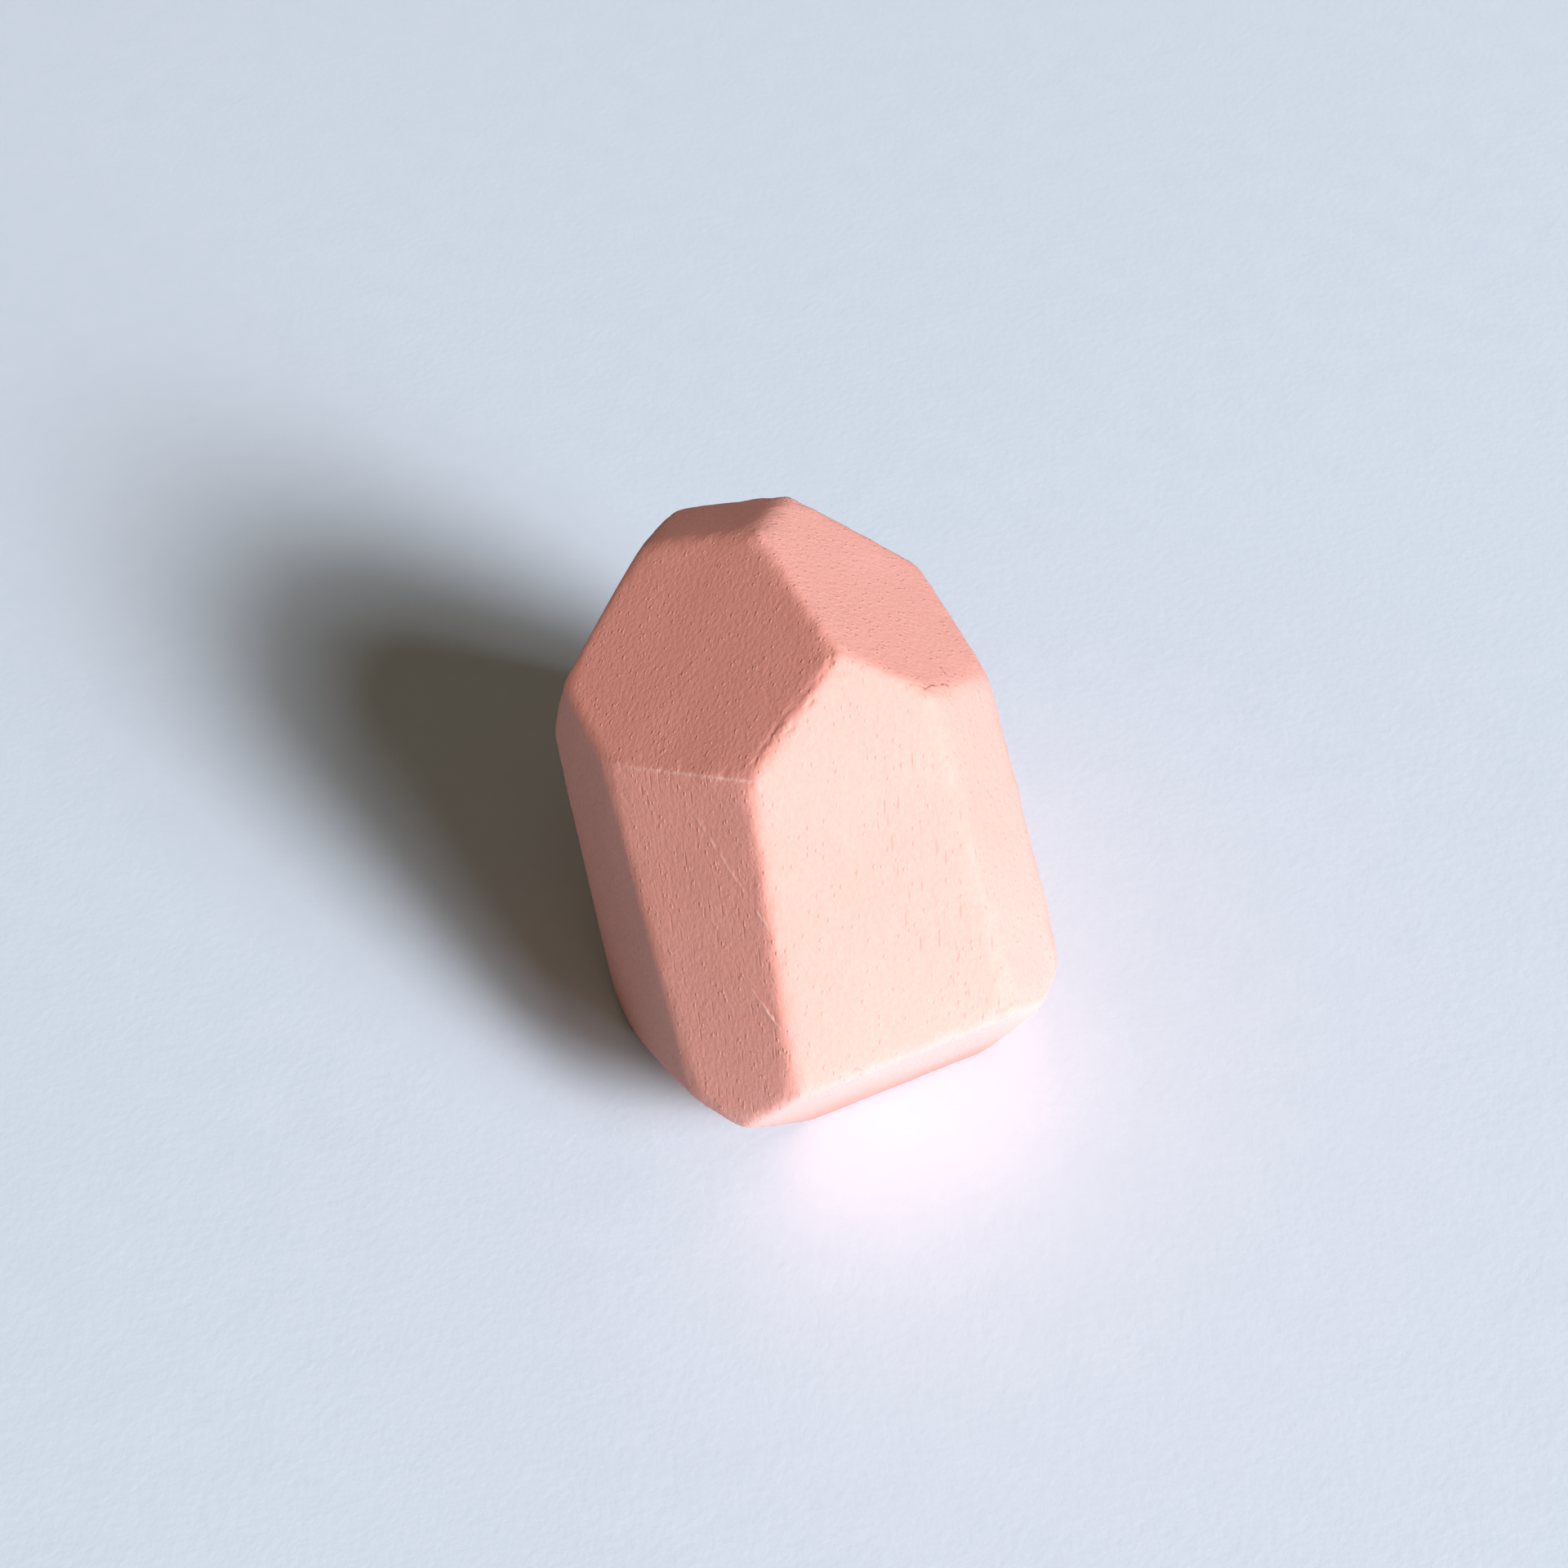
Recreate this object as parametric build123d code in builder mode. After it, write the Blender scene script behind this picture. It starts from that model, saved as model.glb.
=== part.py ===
"""Faceted wooden stacking block: one solid, finger-sized piece of hardwood.

The block stands on its flat base at z = 0.  The origin is the centre of the
base, +Z points up, and the wide front facet faces -Y.  Fifteen facets are
sawn off a square billet, and every edge is then sanded round.
"""

from build123d import *
import os

# Driving dimensions, in millimetres and degrees.
billet_width = 60.0
billet_height = 45.0
core_height = 17.0
edge_radius = 0.9

# Each facet is set out from the core point, which is on the Z axis at core_height.
# heading: where the facet faces in plan, counter-clockwise from +X.
# lean: how far it faces up (positive) or down (negative).
# reach: its distance from the core point.
crown_facets = {
    "left": (-170, 57, 13.0),
    "back": (107, 57, 16.85),
    "right": (23, 52, 14.4),
}
side_facets = {
    "front": (-76, 36, 15.7),
    "right_front": (-23, 23, 15.7),
    "right": (13, 0, 12.3),
    "back": (62, 10, 14.6),
    "left_back": (150, 22, 15.4),
    "left": (-164, 6, 12.6),
    "left_front": (-141, 25, 13.3),
}
heel_facets = {
    "front": (-74, -26, 20.6),
    "right": (-28, -23, 20.9),
    "back": (105, -30, 23.5),
    "left_back": (163, -14, 16.2),
    "left": (-130, -36, 20.9),
}

core_point = Vector(0, 0, core_height)


def facet_plane(heading, lean, reach):
    """The plane of one facet, with its normal pointing out of the wood."""
    normal = Vector(1, 0, 0).rotate(Axis.Y, -lean).rotate(Axis.Z, heading)
    return Plane(origin=core_point + normal * reach, z_dir=normal)


with BuildPart() as stacking_block:
    Box(billet_width, billet_width, billet_height, align=(Align.CENTER, Align.CENTER, Align.MIN))
    for facets in (side_facets, heel_facets, crown_facets):
        for heading, lean, reach in facets.values():
            split(bisect_by=facet_plane(heading, lean, reach), keep=Keep.BOTTOM)
    fillet(stacking_block.edges(), radius=edge_radius)

stacking_block.part.label = "stacking_block"

os.makedirs("parts", exist_ok=True)
export_step(stacking_block.part, "parts/stacking_block.step")
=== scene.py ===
"""Looks for the faceted wooden stacking block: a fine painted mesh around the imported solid.

Everything is in metres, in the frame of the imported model.  Small sizes are written
as multiples of MM.  Directions are a heading (counter-clockwise from +X) and a lean
(above the horizon), both in degrees.
"""

import math
from itertools import combinations

import bmesh
import bpy
import numpy as np
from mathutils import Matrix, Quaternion, Vector, noise


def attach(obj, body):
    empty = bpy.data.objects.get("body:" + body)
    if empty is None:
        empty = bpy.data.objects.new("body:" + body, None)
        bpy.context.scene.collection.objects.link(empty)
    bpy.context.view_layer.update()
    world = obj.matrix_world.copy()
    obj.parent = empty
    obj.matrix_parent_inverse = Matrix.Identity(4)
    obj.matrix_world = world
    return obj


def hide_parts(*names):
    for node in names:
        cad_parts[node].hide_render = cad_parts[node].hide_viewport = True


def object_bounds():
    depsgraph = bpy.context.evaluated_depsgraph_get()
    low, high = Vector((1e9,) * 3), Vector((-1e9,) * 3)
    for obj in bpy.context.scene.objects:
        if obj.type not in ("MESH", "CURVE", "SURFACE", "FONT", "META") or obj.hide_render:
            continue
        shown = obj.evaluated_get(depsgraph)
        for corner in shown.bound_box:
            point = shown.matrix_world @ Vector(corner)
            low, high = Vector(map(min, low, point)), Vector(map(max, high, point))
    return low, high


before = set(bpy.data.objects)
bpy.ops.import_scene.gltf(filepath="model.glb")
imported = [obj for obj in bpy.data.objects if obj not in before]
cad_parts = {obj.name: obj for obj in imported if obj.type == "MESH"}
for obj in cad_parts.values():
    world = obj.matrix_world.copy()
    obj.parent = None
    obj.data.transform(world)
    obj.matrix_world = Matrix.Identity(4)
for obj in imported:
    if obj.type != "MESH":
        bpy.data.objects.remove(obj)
cad_low, cad_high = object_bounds()

MM = 0.001
NODE = "stacking_block"

# The block's mesh.
MESH_PITCH = 0.28 * MM
MARK_CUTS = 3
MARK_MARGIN = 0.55 * MM
SMALLEST_FACET = 20 * MM * MM
# Three planes meet in no usable corner below this determinant.
PARALLEL_LIMIT = 1e-3
CORNER_TOLERANCE = 1e-8
SAME_CORNER = 1e-6

# The sanded edges: how softly they roll, and where they are crisper, softer or uneven.
EDGE_ROLL = 0.17 * MM
CORNER_ROLL = 0.50 * MM
CORNER_REACH = 1.1 * MM
# A point is on an edge at a crowd of 2 facets and on a corner at 3.
CORNER_CROWD_START = 1.9
CORNER_CROWD_RANGE = 0.9
NEWTON_STEPS = 8
LEFT_SOFTNESS = 0.50
RIGHT_SOFTNESS = 1.50
# The extra softness at the low right, and the shares of the height where it starts to fade
# and where it is gone.
HEEL_SOFTNESS = 0.6
HEEL_SOFT_UP_TO = 0.25
HEEL_SOFT_GONE_AT = 0.55
ROLL_UNEVENNESS = 0.45
ROLL_LENGTH = 1.4 * MM
CRISP_EDGE = 0.5
CRISP_REACH = 0.8 * MM

# Unevenness of the sanded surface: low waves everywhere, small chips on the edges.
WAVE_HEIGHT = 0.035 * MM
WAVE_LENGTH = 4.5 * MM
CHIP_HEIGHT = 0.040 * MM
CHIP_LENGTH = 0.7 * MM
CHIP_SHARPNESS = 3

# How a mark's outline and length break up.
RAGGEDNESS = 0.8
RAGGED_LENGTH = 0.25 * MM
BREAK_UNEVENNESS = 2.2
BREAK_BASE = 0.7
BREAK_LENGTH = 0.7 * MM
MARK_END_STRENGTH = 0.4
MARK_END_WIDTHS = 2
MARK_REACH = 4
MARK_STEPS = 8

# Noise seeds.
ROLL_SEED = 5
WAVE_SEED = 11
CHIP_SEED = 17
FIRST_MARK_SEED = 20
BREAK_SEED_STEP = 3
FINE_PORE_SEED = 31
SPECK_SEED = 67

# Wear, dents and dark marks, as polylines in fractions of the CAD box.  Each has its points, its
# half width, the height of its raised (or sunken) middle, how pale and how dark it looks, and
# how much of it is broken away.  The first is the ridge whose edge stays crisp.
MARKS = (
    {"line": ((0.12, 0.43, 0.72), (0.28, 0.34, 0.80), (0.42, 0.26, 0.875)),
     "half_width": 0.10 * MM, "height": 0.035 * MM, "pale": 0.75, "dark": 0.0, "broken": 0.25},
    # The next three sink into a shallow groove and two dents, and darken them slightly inside.
    {"line": ((0.422, 0.282, 0.880), (0.453, 0.302, 0.901), (0.50, 0.329, 0.932),
              (0.544, 0.344, 0.960), (0.59, 0.362, 0.985)),
     "half_width": 0.22 * MM, "height": -0.050 * MM, "pale": 0.0, "dark": 0.08, "broken": 0.35},
    {"line": ((0.540, 0.322, 0.955), (0.562, 0.326, 0.965)),
     "half_width": 0.17 * MM, "height": -0.120 * MM, "pale": 0.0, "dark": 0.15, "broken": 0.2},
    {"line": ((0.492, 0.299, 0.926), (0.515, 0.309, 0.934)),
     "half_width": 0.17 * MM, "height": -0.120 * MM, "pale": 0.0, "dark": 0.15, "broken": 0.2},
    {"line": ((0.281, 0.316, 0.770), (0.340, 0.240, 0.720), (0.418, 0.134, 0.652)),
     "half_width": 0.13 * MM, "height": 0.025 * MM, "pale": 0.30, "dark": 0.0, "broken": 0.70},
    {"line": ((0.357, 0.125, 0.545), (0.375, 0.100, 0.528), (0.408, 0.060, 0.506)),
     "half_width": 0.13 * MM, "height": 0.045 * MM, "pale": 0.55, "dark": 0.0, "broken": 0.60},
    {"line": ((0.772, 0.350, 0.916), (0.786, 0.366, 0.900), (0.801, 0.374, 0.887),
              (0.819, 0.385, 0.871), (0.828, 0.383, 0.866)),
     "half_width": 0.065 * MM, "height": -0.020 * MM, "pale": 0.0, "dark": 0.95, "broken": 0.35},
    {"line": ((0.817, 0.384, 0.872), (0.825, 0.384, 0.867)),
     "half_width": 0.120 * MM, "height": -0.020 * MM, "pale": 0.0, "dark": 0.9, "broken": 0.0},
    {"line": ((0.814, 0.424, 0.859), (0.819, 0.420, 0.857), (0.822, 0.409, 0.859)),
     "half_width": 0.060 * MM, "height": -0.020 * MM, "pale": 0.0, "dark": 0.75, "broken": 0.3},
    {"line": ((0.532, 0.020, 0.417), (0.544, 0.025, 0.424), (0.557, 0.023, 0.416)),
     "half_width": 0.060 * MM, "height": -0.015 * MM, "pale": 0.0, "dark": 0.50, "broken": 0.3},
    {"line": ((0.839, 0.170, 0.589), (0.841, 0.168, 0.586)),
     "half_width": 0.085 * MM, "height": -0.030 * MM, "pale": 0.0, "dark": 0.7, "broken": 0.0},
)

# The paint and the wood under it.
PAINT_DEEP = (0.585, 0.268, 0.202, 1)
PAINT_PALE = (0.625, 0.318, 0.254, 1)
PAINT_PORE = (0.40, 0.165, 0.115, 1)
PAINT_SCRAPED = (0.75, 0.55, 0.46, 1)
# The dark marks' colour: thin dark lines and specks, and a slight darkening inside the sunken
# groove and dents.
DARK_MARK = (0.16, 0.04, 0.03, 1)
PAINT_SPECULAR = 0.12
GRAIN_AXIS = Vector((0.10, 0.60, 0.79)).normalized()
# Growth bands, in millimetres across the grain; waves above BAND_EDGE_HIGH are full of pores.
BAND_DIRECTION = (0.97, 0.24, 0.0)
BAND_SPACING = 13.0
BAND_START = -1.6
BAND_WANDER = 5.0
BAND_WANDER_SCALE = 0.35
BAND_EDGE_LOW = 0.0
BAND_EDGE_HIGH = 0.8
# Shares of cells that hold a pore, everywhere and on top of that within a band, or a speck.
PORE_SHARE = 0.015
BAND_PORE_SHARE = 0.80
SPECK_SHARE = 0.35
# A fine pore's depth and darkness as a share of a full pore's.
FINE_PORE_WEIGHT = 0.35
# Scales are cells per millimetre, stretches are along the grain, and radii are in cells.
PORE_SCALE = 2.3
PORE_STRETCH = 6
PORE_RADIUS = 0.26
FINE_PORE_SCALE = 3.2
FINE_PORE_STRETCH = 5
FINE_PORE_RADIUS = 0.27
FIBRE_SCALE = 2.8
FIBRE_STRETCH = 4
SKIN_SCALE = 3.2
SKIN_STRETCH = 1.1
SPECK_SCALE = 2.7
SPECK_STRETCH = 1.5
SPECK_RADIUS = 0.34
PATCH_SCALE = 0.12
FINE_DETAIL = 3.0
FINE_ROUGHNESS = 0.6
# The middle of a pit is full depth out to this share of its radius.
PIT_FLOOR = 0.35
# Noise values between which a layer goes from nothing to full, and how much it tints.
STREAK_RANGE = (0.35, 0.7)
STREAK_TINT = 0.35
FRECKLE_RANGE = (0.42, 0.62)
FRECKLE_TINT = 0.30
PORE_TINT = 0.30
SHEEN_RANGE = (0.3, 0.7)
SMOOTH_PAINT = 0.68
ROUGH_PAINT = 0.82
# Relief heights of the layers.
FIBRE_HEIGHT = 0.013 * MM
SKIN_HEIGHT = 0.052 * MM
SPECK_HEIGHT = 0.036 * MM
PORE_DEPTH = 0.018 * MM

# The paper.
PAPER_DARK = (0.77, 0.775, 0.78, 1)
PAPER_LIGHT = (0.83, 0.825, 0.82, 1)
PAPER_TOOTH = 0.020 * MM
PAPER_CLOUD_SCALE = 0.30
PAPER_CLOUD_DETAIL = 4.0
PAPER_TOOTH_SCALE = 1.6
PAPER_ROUGHNESS = 0.9
PAPER_SPECULAR = 0.1
FLOOR_HALF = 1.5

# The camera.
CAMERA_LENS = 56.2
CAMERA_SENSOR = 36
CAMERA_NEAR = 10 * MM
CAMERA_HEADING = -90
CAMERA_DISTANCE = 158.5 * MM
CAMERA_ELEVATION = 50.05
CAMERA_ROLL = -7.9
CAMERA_AIM_SHIFT = Vector((-0.6, -0.6, 0)) * MM

# The lights.  Half sizes of the key are in degrees, seen from the block.
KEY_HEADING = -45.2
KEY_LEAN = 26.8
KEY_TURN = 60
KEY_DISTANCE = 4.0
KEY_HALF_LENGTH = 10.3
KEY_HALF_BREADTH = 7.4
KEY_COLOUR = (0.75, 0.845, 1.0)
KEY_ENERGY = 346
# A window's glow falls off outwards: each pair is a panel's size and its share of the light.
KEY_PANELS = ((0.85, 0.50), (1.75, 0.50))
ROOM_HEADING = -75
ROOM_LEAN = 50
ROOM_DISTANCE = 1.5
ROOM_SIZE = 0.6
ROOM_ENERGY = 20.5
ROOM_COLOUR = (1.0, 0.69, 0.66)
GLOW_HEADING = -66
GLOW_REACH = 44 * MM
GLOW_RISE = 0.3 * MM
GLOW_LENGTH = 70 * MM
GLOW_BREADTH = 42 * MM
GLOW_ENERGY = 0.034
GLOW_COLOUR = (0.4, 0.7, 1.0)
FILL_COLOUR = (1.0, 0.92, 0.73, 1)
FILL_STRENGTH = 0.20
FILL_FALL_OFF = 2.0
BACKDROP_COLOUR = (0.80, 0.84, 0.90, 1)
BACKDROP_STRENGTH = 0.8


def direction(heading, lean):
    """Unit vector for a heading and a lean in degrees."""
    h = math.radians(heading)
    e = math.radians(lean)
    return Vector((math.cos(h) * math.cos(e), math.sin(h) * math.cos(e), math.sin(e)))


# ---------------------------------------------------------------- block shape

def read_facets(node):
    """The flat facets of a CAD node: outward unit normals and distances from the origin."""
    area = {}
    largest = {}
    for polygon in node.data.polygons:
        key = tuple(round(c, 2) for c in polygon.normal)
        area[key] = area.get(key, 0.0) + polygon.area
        if key not in largest or polygon.area > largest[key][0]:
            largest[key] = (polygon.area, polygon.normal.copy(), polygon.center.copy())
    flats = [largest[key] for key in area if area[key] > SMALLEST_FACET]
    normals = np.array([list(normal) for _, normal, _ in flats])
    distances = np.array([normal.dot(centre) for _, normal, centre in flats])
    return normals, distances


def corners(normals, distances):
    """Corner points of the convex solid bounded by the given planes."""
    found = []
    for trio in combinations(range(len(normals)), 3):
        matrix = normals[list(trio)]
        if abs(np.linalg.det(matrix)) < PARALLEL_LIMIT:
            continue
        point = np.linalg.solve(matrix, distances[list(trio)])
        if (normals @ point <= distances + CORNER_TOLERANCE).all():
            found.append(point)
    return found


def hull_mesh(points):
    """Closed bmesh around a set of points."""
    solid = bmesh.new()
    for point in points:
        solid.verts.new(point)
    bmesh.ops.remove_doubles(solid, verts=solid.verts, dist=SAME_CORNER)
    made = bmesh.ops.convex_hull(solid, input=solid.verts)
    inside = [v for v in made["geom_interior"] if isinstance(v, bmesh.types.BMVert)]
    bmesh.ops.delete(solid, geom=inside, context="VERTS")
    bmesh.ops.recalc_face_normals(solid, faces=solid.faces)
    return solid


def even_mesh(name, solid, pitch):
    """An object holding an even quad mesh over a closed bmesh."""
    mesh = bpy.data.meshes.new(name)
    solid.to_mesh(mesh)
    piece = bpy.data.objects.new(name, mesh)
    bpy.context.scene.collection.objects.link(piece)
    remesh = piece.modifiers.new("even", "REMESH")
    remesh.mode = "VOXEL"
    remesh.voxel_size = pitch
    graph = bpy.context.evaluated_depsgraph_get()
    fine = bpy.data.meshes.new_from_object(piece.evaluated_get(graph), depsgraph=graph)
    piece.modifiers.clear()
    piece.data = fine
    fine.name = name
    bpy.data.meshes.remove(mesh)
    return piece


def points_of(mesh):
    """Vertex positions as an array."""
    flat = np.zeros(len(mesh.vertices) * 3)
    mesh.vertices.foreach_get("co", flat)
    return flat.reshape(-1, 3)


def rolled(points, normals, distances, softness=1.0):
    """Moves points onto the sanded surface: flat facets, softly rolled edges, rounder corners.

    A facet's closeness is exp(depth / roll).  Where the closenesses of all facets add up
    to one lies the surface: on one facet it is the flat plane, and near an edge, where two
    facets are close, it falls away smoothly.  Softness scales the roll, point by point.
    Also gives the outward directions and how near each point is to an edge, 0 to 1.
    """
    moved = points.copy()
    for _ in range(NEWTON_STEPS):
        depths = moved @ normals.T - distances
        crowd = np.exp(depths / CORNER_REACH).sum(axis=1)
        cornered = np.clip((crowd - CORNER_CROWD_START) / CORNER_CROWD_RANGE, 0, 1)[:, None]
        roll = (EDGE_ROLL + (CORNER_ROLL - EDGE_ROLL) * cornered) * np.reshape(softness, (-1, 1))
        closeness = np.exp(depths / roll)
        total = closeness.sum(axis=1)[:, None]
        outward = closeness @ normals / total
        height = roll * np.log(total)
        steep = (outward ** 2).sum(axis=1)[:, None]
        moved -= outward * height / steep
    outward /= np.linalg.norm(outward, axis=1)[:, None]
    return moved, outward, np.clip(crowd - 1, 0, 1)


# --------------------------------------------------------------- wear and dirt

def wobble(points, length, seed):
    """Smooth noise around zero at each point, with features of a given length."""
    shift = Vector((seed, seed, seed))
    return np.array([noise.noise(Vector(point) / length + shift) for point in points])


def laid_line(fractions, normals, distances):
    """A mark's line, laid on the surface in short steps."""
    size = np.array(cad_high - cad_low)
    stops = np.array(fractions) * size + np.array(cad_low)
    steps = np.linspace(0, len(stops) - 1, MARK_STEPS * (len(stops) - 1) + 1)
    places = [np.interp(steps, range(len(stops)), stops[:, axis]) for axis in range(3)]
    line = np.stack(places, axis=1)
    return rolled(line, normals, distances)[0]


def gap_to(line, points):
    """Each point's distance from a line, and how far along it (0 to 1) the nearest place is."""
    gaps = np.full(len(points), np.inf)
    along = np.zeros(len(points))
    count = len(line) - 1
    for i in range(count):
        step = line[i + 1] - line[i]
        share = np.clip((points - line[i]) @ step / (step @ step), 0, 1)
        gap = np.linalg.norm(points - line[i] - share[:, None] * step, axis=1)
        closer = gap < gaps
        gaps[closer] = gap[closer]
        along[closer] = (i + share[closer]) / count
    return gaps, along


def mark_strength(mark, line, points, seed):
    """How strongly a mark shows at each point: ragged, broken in places, thin at its ends."""
    strength = np.zeros(len(points))
    gaps, along = gap_to(line, points)
    near = np.flatnonzero(gaps < MARK_REACH * mark["half_width"])
    if len(near) == 0:
        return strength
    length = np.linalg.norm(np.diff(line, axis=0), axis=1).sum()
    ragged = 1 + RAGGEDNESS * wobble(points[near], RAGGED_LENGTH, seed)
    patchy = wobble(points[near], BREAK_LENGTH, seed + BREAK_SEED_STEP)
    present = np.clip(1 - mark["broken"] * (BREAK_BASE + BREAK_UNEVENNESS * patchy), 0, 1)
    to_end = np.minimum(along[near], 1 - along[near]) * length / mark["half_width"]
    ends = np.clip(MARK_END_STRENGTH + to_end / MARK_END_WIDTHS, 0, 1)
    strength[near] = np.exp(-(gaps[near] / (mark["half_width"] * ragged)) ** 2) * present * ends
    return strength


def refine(mesh, lines):
    """Cuts the mesh finer around the marks, so that they are real relief."""
    fine = bmesh.new()
    fine.from_mesh(mesh)
    centres = np.array([face.calc_center_median() for face in fine.faces])
    near = np.zeros(len(centres), dtype=bool)
    for line in lines:
        near |= gap_to(line, centres)[0] < MARK_MARGIN
    for face, chosen in zip(fine.faces, near):
        face.tag = bool(chosen)
    edges = [edge for edge in fine.edges if any(face.tag for face in edge.link_faces)]
    bmesh.ops.subdivide_edges(fine, edges=edges, cuts=MARK_CUTS, use_grid_fill=True)
    wide = [face for face in fine.faces if len(face.verts) > 4]
    bmesh.ops.triangulate(fine, faces=wide)
    fine.to_mesh(mesh)
    fine.free()


def paint_points(mesh, name, values):
    """Stores one number per vertex for the paint to read."""
    layer = mesh.attributes.new(name, "FLOAT", "POINT")
    layer.data.foreach_set("value", values)


def edge_softness(points, crisp_line):
    """How softly the edges roll at each point: crisp on the left, soft at the low right."""
    softness = np.interp(points[:, 0], (cad_low.x, 0), (LEFT_SOFTNESS, RIGHT_SOFTNESS))
    rightward = np.interp(points[:, 0], (0, cad_high.x), (0, 1))
    soft_heights = (HEEL_SOFT_UP_TO * cad_high.z, HEEL_SOFT_GONE_AT * cad_high.z)
    lowness = np.interp(points[:, 2], soft_heights, (1, 0))
    softness *= 1 + HEEL_SOFTNESS * rightward * lowness
    softness *= 1 + ROLL_UNEVENNESS * wobble(points, ROLL_LENGTH, ROLL_SEED)
    softness *= 1 - CRISP_EDGE * np.exp(-(gap_to(crisp_line, points)[0] / CRISP_REACH) ** 2)
    return softness


def make_block():
    """The painted block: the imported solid's facets with sanded edges, in an even mesh."""
    normals, distances = read_facets(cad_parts[NODE])
    sharp = hull_mesh(corners(normals, distances))
    piece = even_mesh("painted_block", sharp, MESH_PITCH)
    sharp.free()
    mesh = piece.data
    lines = [laid_line(mark["line"], normals, distances) for mark in MARKS]
    refine(mesh, lines)

    raw = points_of(mesh)
    softness = edge_softness(raw, lines[0])
    points, outward, edginess = rolled(raw, normals, distances, softness)

    height = WAVE_HEIGHT * wobble(points, WAVE_LENGTH, WAVE_SEED)
    chips = np.clip(wobble(points, CHIP_LENGTH, CHIP_SEED), 0, 1)
    height -= CHIP_HEIGHT * edginess ** CHIP_SHARPNESS * chips
    pale = np.zeros(len(points))
    dark = np.zeros(len(points))
    for seed, (mark, line) in enumerate(zip(MARKS, lines), FIRST_MARK_SEED):
        strength = mark_strength(mark, line, points, seed)
        height += mark["height"] * strength
        pale = np.maximum(pale, mark["pale"] * strength)
        dark = np.maximum(dark, mark["dark"] * strength)
    points += outward * height[:, None]
    points[:, 2] = np.maximum(points[:, 2], cad_low.z)

    mesh.vertices.foreach_set("co", points.ravel())
    mesh.update()
    mesh.shade_smooth()
    paint_points(mesh, "pale", pale)
    paint_points(mesh, "dark", dark)
    return piece


# ------------------------------------------------------------------ materials

def new_material(name):
    """An empty node material with its node tree."""
    material = bpy.data.materials.new(name)
    material.use_nodes = True
    material.node_tree.nodes.clear()
    return material


def add(tree, kind, inputs=None, **settings):
    """Adds a shader node, sets its properties, and fills or links its inputs."""
    node = tree.nodes.new("ShaderNode" + kind)
    for key, value in settings.items():
        setattr(node, key, value)
    for key, value in (inputs or {}).items():
        if isinstance(value, bpy.types.NodeSocket):
            tree.links.new(value, node.inputs[key])
        else:
            node.inputs[key].default_value = value
    return node


def math_node(tree, operation, first, second=None, third=None):
    """Output of a maths node; each input is a number or a socket."""
    values = {i: v for i, v in enumerate((first, second, third)) if v is not None}
    return add(tree, "Math", values, operation=operation).outputs[0]


def vector_node(tree, operation, first, second=None, output=0):
    """Output of a vector maths node; output 1 is the one that gives a number."""
    values = {i: v for i, v in enumerate((first, second)) if v is not None}
    return add(tree, "VectorMath", values, operation=operation).outputs[output]


def ramp(tree, value, low, high, out_low=0.0, out_high=1.0):
    """Maps low..high to out_low..out_high with a smooth start and end."""
    node = add(tree, "MapRange", {"Value": value, "From Min": low, "From Max": high,
                                  "To Min": out_low, "To Max": out_high},
               interpolation_type="SMOOTHSTEP")
    return node.outputs["Result"]


def blend_colour(tree, amount, first, second):
    """Mixes two colours by an amount from 0 to 1."""
    # For colours, the Mix node's inputs are 0, 6 and 7, and its output is 2.
    node = add(tree, "Mix", {0: amount, 6: first, 7: second}, data_type="RGBA")
    return node.outputs[2]


def noise_texture(tree, point, scale, detail=2.0, roughness=0.5):
    """Noise value around 0.5, at a number of cells per millimetre."""
    node = add(tree, "TexNoise", {"Vector": point, "Scale": scale, "Detail": detail,
                                  "Roughness": roughness})
    return node.outputs["Fac"]


def grain_point(tree, here, stretch):
    """Position in millimetres along the grain's own axes, drawn out along the grain."""
    across = GRAIN_AXIS.orthogonal().normalized()
    aside = GRAIN_AXIS.cross(across)
    parts = {"X": vector_node(tree, "DOT_PRODUCT", here, across, 1),
             "Y": vector_node(tree, "DOT_PRODUCT", here, aside, 1),
             "Z": math_node(tree, "DIVIDE", vector_node(tree, "DOT_PRODUCT", here, GRAIN_AXIS, 1),
                            stretch)}
    return add(tree, "CombineXYZ", parts).outputs[0]


def pits(tree, point, scale, radius, share, seed_shift):
    """Mask of scattered cells: 1 in the middle of a pit, 0 outside; share is the fraction kept."""
    shifted = vector_node(tree, "ADD", point, (seed_shift, seed_shift, seed_shift))
    cells = add(tree, "TexVoronoi", {"Vector": shifted, "Scale": scale}, feature="F1")
    disc = ramp(tree, cells.outputs["Distance"], radius, radius * PIT_FLOOR)
    pick = add(tree, "SeparateColor", {0: cells.outputs["Color"]}).outputs[0]
    kept = math_node(tree, "LESS_THAN", pick, share)
    return math_node(tree, "MULTIPLY", disc, kept)


def finish_surface(tree, colour, roughness, specular, height):
    """Joins colour, roughness and a relief height in metres into the material's surface."""
    bump = add(tree, "Bump", {"Strength": 1.0, "Distance": 1.0, "Height": height})
    shader = add(tree, "BsdfPrincipled", {"Base Color": colour, "Roughness": roughness,
                                          "Specular IOR Level": specular,
                                          "Normal": bump.outputs[0]})
    add(tree, "OutputMaterial", {"Surface": shader.outputs["BSDF"]})


def millimetres(tree):
    """Position in millimetres in the block's own frame."""
    here = vector_node(tree, "SCALE", add(tree, "TexCoord").outputs["Object"])
    here.node.inputs["Scale"].default_value = 1 / MM
    return here


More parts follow.
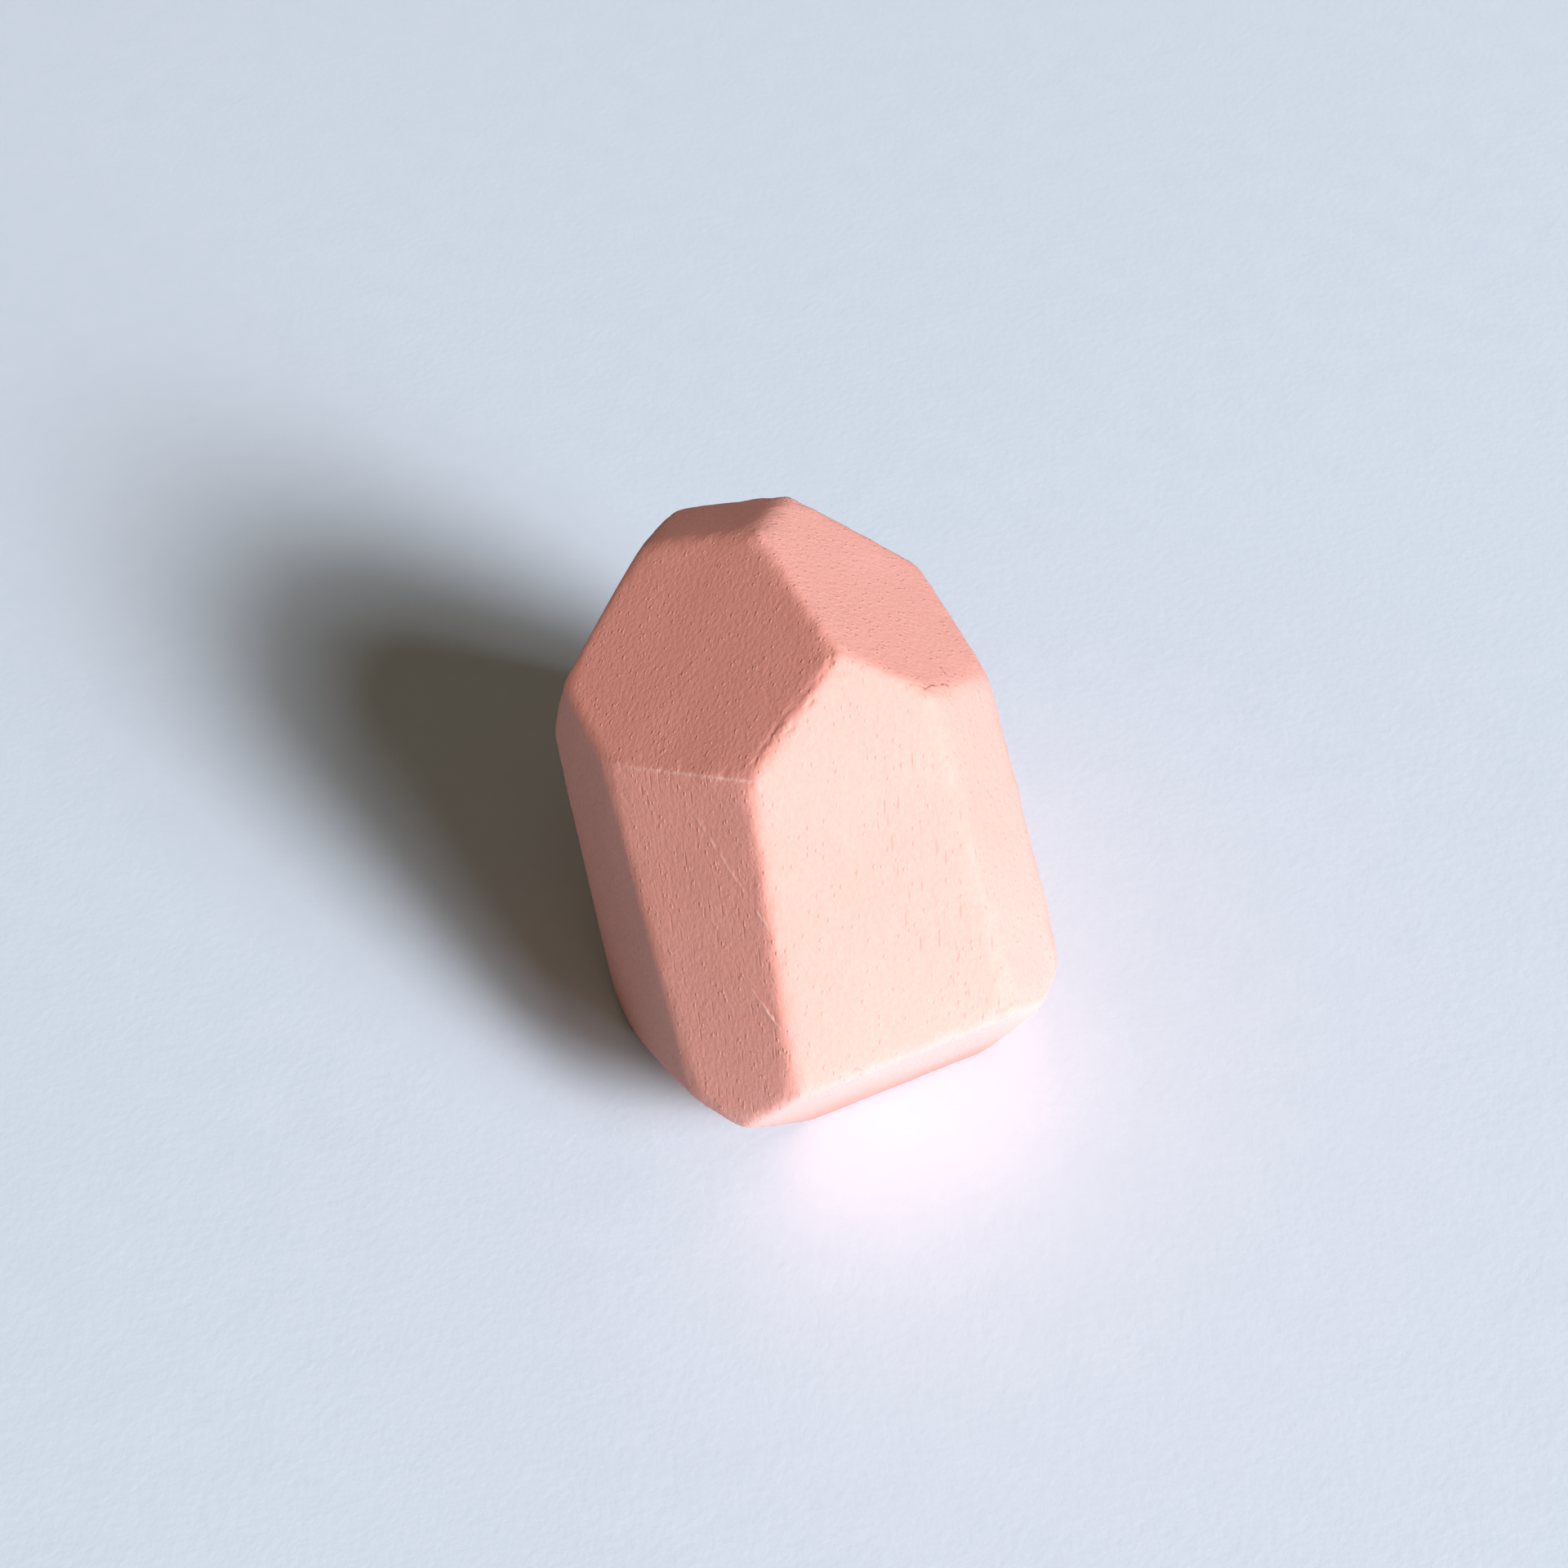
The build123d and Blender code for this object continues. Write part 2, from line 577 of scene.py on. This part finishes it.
def paint_material():
    """Matte salmon paint over close-grained wood, whose pores and fibres show through."""
    material = new_material("painted_wood")
    tree = material.node_tree
    here = millimetres(tree)

    # Growth bands run along the grain: pores crowd in them and are rare between them.
    band_place = vector_node(tree, "DOT_PRODUCT", here, BAND_DIRECTION, 1)
    wander = noise_texture(tree, grain_point(tree, here, PORE_STRETCH), BAND_WANDER_SCALE)
    band_phase = math_node(tree, "MULTIPLY_ADD", wander, BAND_WANDER, band_place)
    band_wave = math_node(tree, "SINE", math_node(tree, "MULTIPLY_ADD", band_phase,
                                                  2 * math.pi / BAND_SPACING, BAND_START))
    band = ramp(tree, band_wave, BAND_EDGE_LOW, BAND_EDGE_HIGH)

    # Pores: short dashes on side grain, round pits on end grain.
    pore_share = math_node(tree, "MULTIPLY_ADD", band, BAND_PORE_SHARE, PORE_SHARE)
    pores = pits(tree, grain_point(tree, here, PORE_STRETCH), PORE_SCALE, PORE_RADIUS,
                 pore_share, 0)
    fine_pores = pits(tree, grain_point(tree, here, FINE_PORE_STRETCH), FINE_PORE_SCALE,
                      FINE_PORE_RADIUS, pore_share, FINE_PORE_SEED)
    fine_holes = math_node(tree, "MULTIPLY", fine_pores, FINE_PORE_WEIGHT)
    holes = math_node(tree, "MAXIMUM", pores, fine_holes)

    # Fibres, and raised specks in the skin of the paint.
    fibres = noise_texture(tree, grain_point(tree, here, FIBRE_STRETCH), FIBRE_SCALE,
                           FINE_DETAIL, FINE_ROUGHNESS)
    skin = noise_texture(tree, grain_point(tree, here, SKIN_STRETCH), SKIN_SCALE,
                         FINE_DETAIL, FINE_ROUGHNESS)
    specks = pits(tree, grain_point(tree, here, SPECK_STRETCH), SPECK_SCALE, SPECK_RADIUS,
                  SPECK_SHARE, SPECK_SEED)

    # Colour: thin spots and thick spots, darker pores, then scraped marks and dark marks, which
    # also darken the sunken groove and dents.
    patches = noise_texture(tree, here, PATCH_SCALE, FINE_DETAIL)
    mottled = blend_colour(tree, patches, PAINT_DEEP, PAINT_PALE)
    streaks = ramp(tree, fibres, *STREAK_RANGE, 0.0, STREAK_TINT)
    freckles = ramp(tree, skin, *FRECKLE_RANGE, 0.0, FRECKLE_TINT)
    streaked = blend_colour(tree, streaks, mottled, PAINT_PALE)
    freckled = blend_colour(tree, freckles, streaked, PAINT_DEEP)
    pore_tint = math_node(tree, "MULTIPLY", holes, PORE_TINT)
    porous = blend_colour(tree, pore_tint, freckled, PAINT_PORE)
    pale = add(tree, "Attribute", attribute_name="pale").outputs["Fac"]
    dark = add(tree, "Attribute", attribute_name="dark").outputs["Fac"]
    scraped = blend_colour(tree, pale, porous, PAINT_SCRAPED)
    coloured = blend_colour(tree, dark, scraped, DARK_MARK)

    height = math_node(tree, "MULTIPLY", fibres, FIBRE_HEIGHT)
    height = math_node(tree, "MULTIPLY_ADD", skin, SKIN_HEIGHT, height)
    height = math_node(tree, "MULTIPLY_ADD", specks, SPECK_HEIGHT, height)
    height = math_node(tree, "MULTIPLY_ADD", holes, -PORE_DEPTH, height)
    rough = ramp(tree, skin, *SHEEN_RANGE, SMOOTH_PAINT, ROUGH_PAINT)
    finish_surface(tree, coloured, rough, PAINT_SPECULAR, height)
    return material


def paper_material():
    """Pale paper with a faint tooth."""
    material = new_material("pale_paper")
    tree = material.node_tree
    here = millimetres(tree)
    cloud = noise_texture(tree, here, PAPER_CLOUD_SCALE, PAPER_CLOUD_DETAIL, FINE_ROUGHNESS)
    tint = blend_colour(tree, cloud, PAPER_DARK, PAPER_LIGHT)
    tooth = noise_texture(tree, here, PAPER_TOOTH_SCALE, FINE_DETAIL, FINE_ROUGHNESS)
    height = math_node(tree, "MULTIPLY", tooth, PAPER_TOOTH)
    finish_surface(tree, tint, PAPER_ROUGHNESS, PAPER_SPECULAR, height)
    return material


# -------------------------------------------------------------- set and light

def make_floor():
    """A plain pale sheet under the block."""
    mesh = bpy.data.meshes.new("paper_floor")
    half = FLOOR_HALF
    ring = [(-half, -half, 0), (half, -half, 0), (half, half, 0), (-half, half, 0)]
    mesh.from_pydata(ring, [], [(0, 1, 2, 3)])
    floor = bpy.data.objects.new("paper_floor", mesh)
    bpy.context.scene.collection.objects.link(floor)
    mesh.materials.append(paper_material())


def make_key_light():
    """A broad soft window, low on the right in front of the block, brightest in its middle."""
    towards = direction(KEY_HEADING, KEY_LEAN)
    turn = Quaternion(towards, math.radians(KEY_TURN)) @ towards.to_track_quat("Z", "Y")
    for spread, share in KEY_PANELS:
        lamp = bpy.data.lights.new("soft_key", "AREA")
        lamp.shape = "ELLIPSE"
        lamp.size = 2 * KEY_DISTANCE * math.tan(math.radians(KEY_HALF_LENGTH * spread))
        lamp.size_y = 2 * KEY_DISTANCE * math.tan(math.radians(KEY_HALF_BREADTH * spread))
        lamp.energy = KEY_ENERGY * share
        lamp.color = KEY_COLOUR
        panel = bpy.data.objects.new("soft_key", lamp)
        panel.location = towards * KEY_DISTANCE
        panel.rotation_mode = "QUATERNION"
        panel.rotation_quaternion = turn
        bpy.context.scene.collection.objects.link(panel)


def light_only(panel, block):
    """Keeps a light to the block: nothing else is lit by it or shades it."""
    reach = bpy.data.collections.new(panel.name + "_reach")
    reach.objects.link(block)
    panel.light_linking.receiver_collection = reach
    panel.light_linking.blocker_collection = reach


def make_room_light(block):
    """A faint soft light from the room in front, which lifts the block's shaded facets."""
    lamp = bpy.data.lights.new("room_light", "AREA")
    lamp.shape = "DISK"
    lamp.size = ROOM_SIZE
    lamp.energy = ROOM_ENERGY
    lamp.color = ROOM_COLOUR
    panel = bpy.data.objects.new("room_light", lamp)
    towards = direction(ROOM_HEADING, ROOM_LEAN)
    panel.location = towards * ROOM_DISTANCE
    panel.rotation_mode = "QUATERNION"
    panel.rotation_quaternion = towards.to_track_quat("Z", "Y")
    bpy.context.scene.collection.objects.link(panel)
    light_only(panel, block)


def make_paper_glow(block):
    """The bright paper's glow up at the front heels, as a flat panel lying on the paper."""
    lamp = bpy.data.lights.new("paper_glow", "AREA")
    lamp.shape = "RECTANGLE"
    lamp.size = GLOW_LENGTH
    lamp.size_y = GLOW_BREADTH
    lamp.energy = GLOW_ENERGY
    lamp.color = GLOW_COLOUR
    panel = bpy.data.objects.new("paper_glow", lamp)
    panel.location = direction(GLOW_HEADING, 0) * GLOW_REACH + Vector((0, 0, GLOW_RISE))
    panel.rotation_euler = (math.pi, 0, math.radians(GLOW_HEADING + 90))
    panel.visible_camera = False
    bpy.context.scene.collection.objects.link(panel)
    light_only(panel, block)


def make_world():
    """Dim warm fill from overhead, fading to the horizon, seen by the camera as a pale backdrop."""
    world = bpy.data.worlds.new("room")
    world.use_nodes = True
    tree = world.node_tree
    tree.nodes.clear()
    path = add(tree, "LightPath")
    towards = add(tree, "TexCoord").outputs["Generated"]
    lift = add(tree, "SeparateXYZ", {0: towards}).outputs["Z"]
    overhead = math_node(tree, "POWER", math_node(tree, "MAXIMUM", lift, 0.0), FILL_FALL_OFF)
    strength = math_node(tree, "MULTIPLY", overhead, FILL_STRENGTH)
    fill = add(tree, "Background", {"Color": FILL_COLOUR, "Strength": strength})
    backdrop = add(tree, "Background", {"Color": BACKDROP_COLOUR, "Strength": BACKDROP_STRENGTH})
    mixed = add(tree, "MixShader", {0: path.outputs["Is Camera Ray"], 1: fill.outputs[0],
                                    2: backdrop.outputs[0]})
    add(tree, "OutputWorld", {"Surface": mixed.outputs[0]})
    bpy.context.scene.world = world


def make_camera():
    """Camera above the front of the block, looking down at its centre."""
    camera = bpy.data.objects.new("camera", bpy.data.cameras.new("camera"))
    camera.data.lens = CAMERA_LENS
    camera.data.sensor_width = CAMERA_SENSOR
    camera.data.clip_start = CAMERA_NEAR
    aim = (cad_low + cad_high) / 2 + CAMERA_AIM_SHIFT
    back = direction(CAMERA_HEADING, CAMERA_ELEVATION)
    camera.location = aim + back * CAMERA_DISTANCE
    camera.rotation_mode = "QUATERNION"
    tilt = Quaternion(back, math.radians(CAMERA_ROLL))
    camera.rotation_quaternion = tilt @ back.to_track_quat("Z", "Y")
    bpy.context.scene.collection.objects.link(camera)
    bpy.context.scene.camera = camera


block = make_block()
block.data.materials.append(paint_material())
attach(block, "root")
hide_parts(NODE)

make_floor()
make_key_light()
make_room_light(block)
make_paper_glow(block)
make_world()
make_camera()
bpy.context.scene.view_settings.view_transform = "Standard"
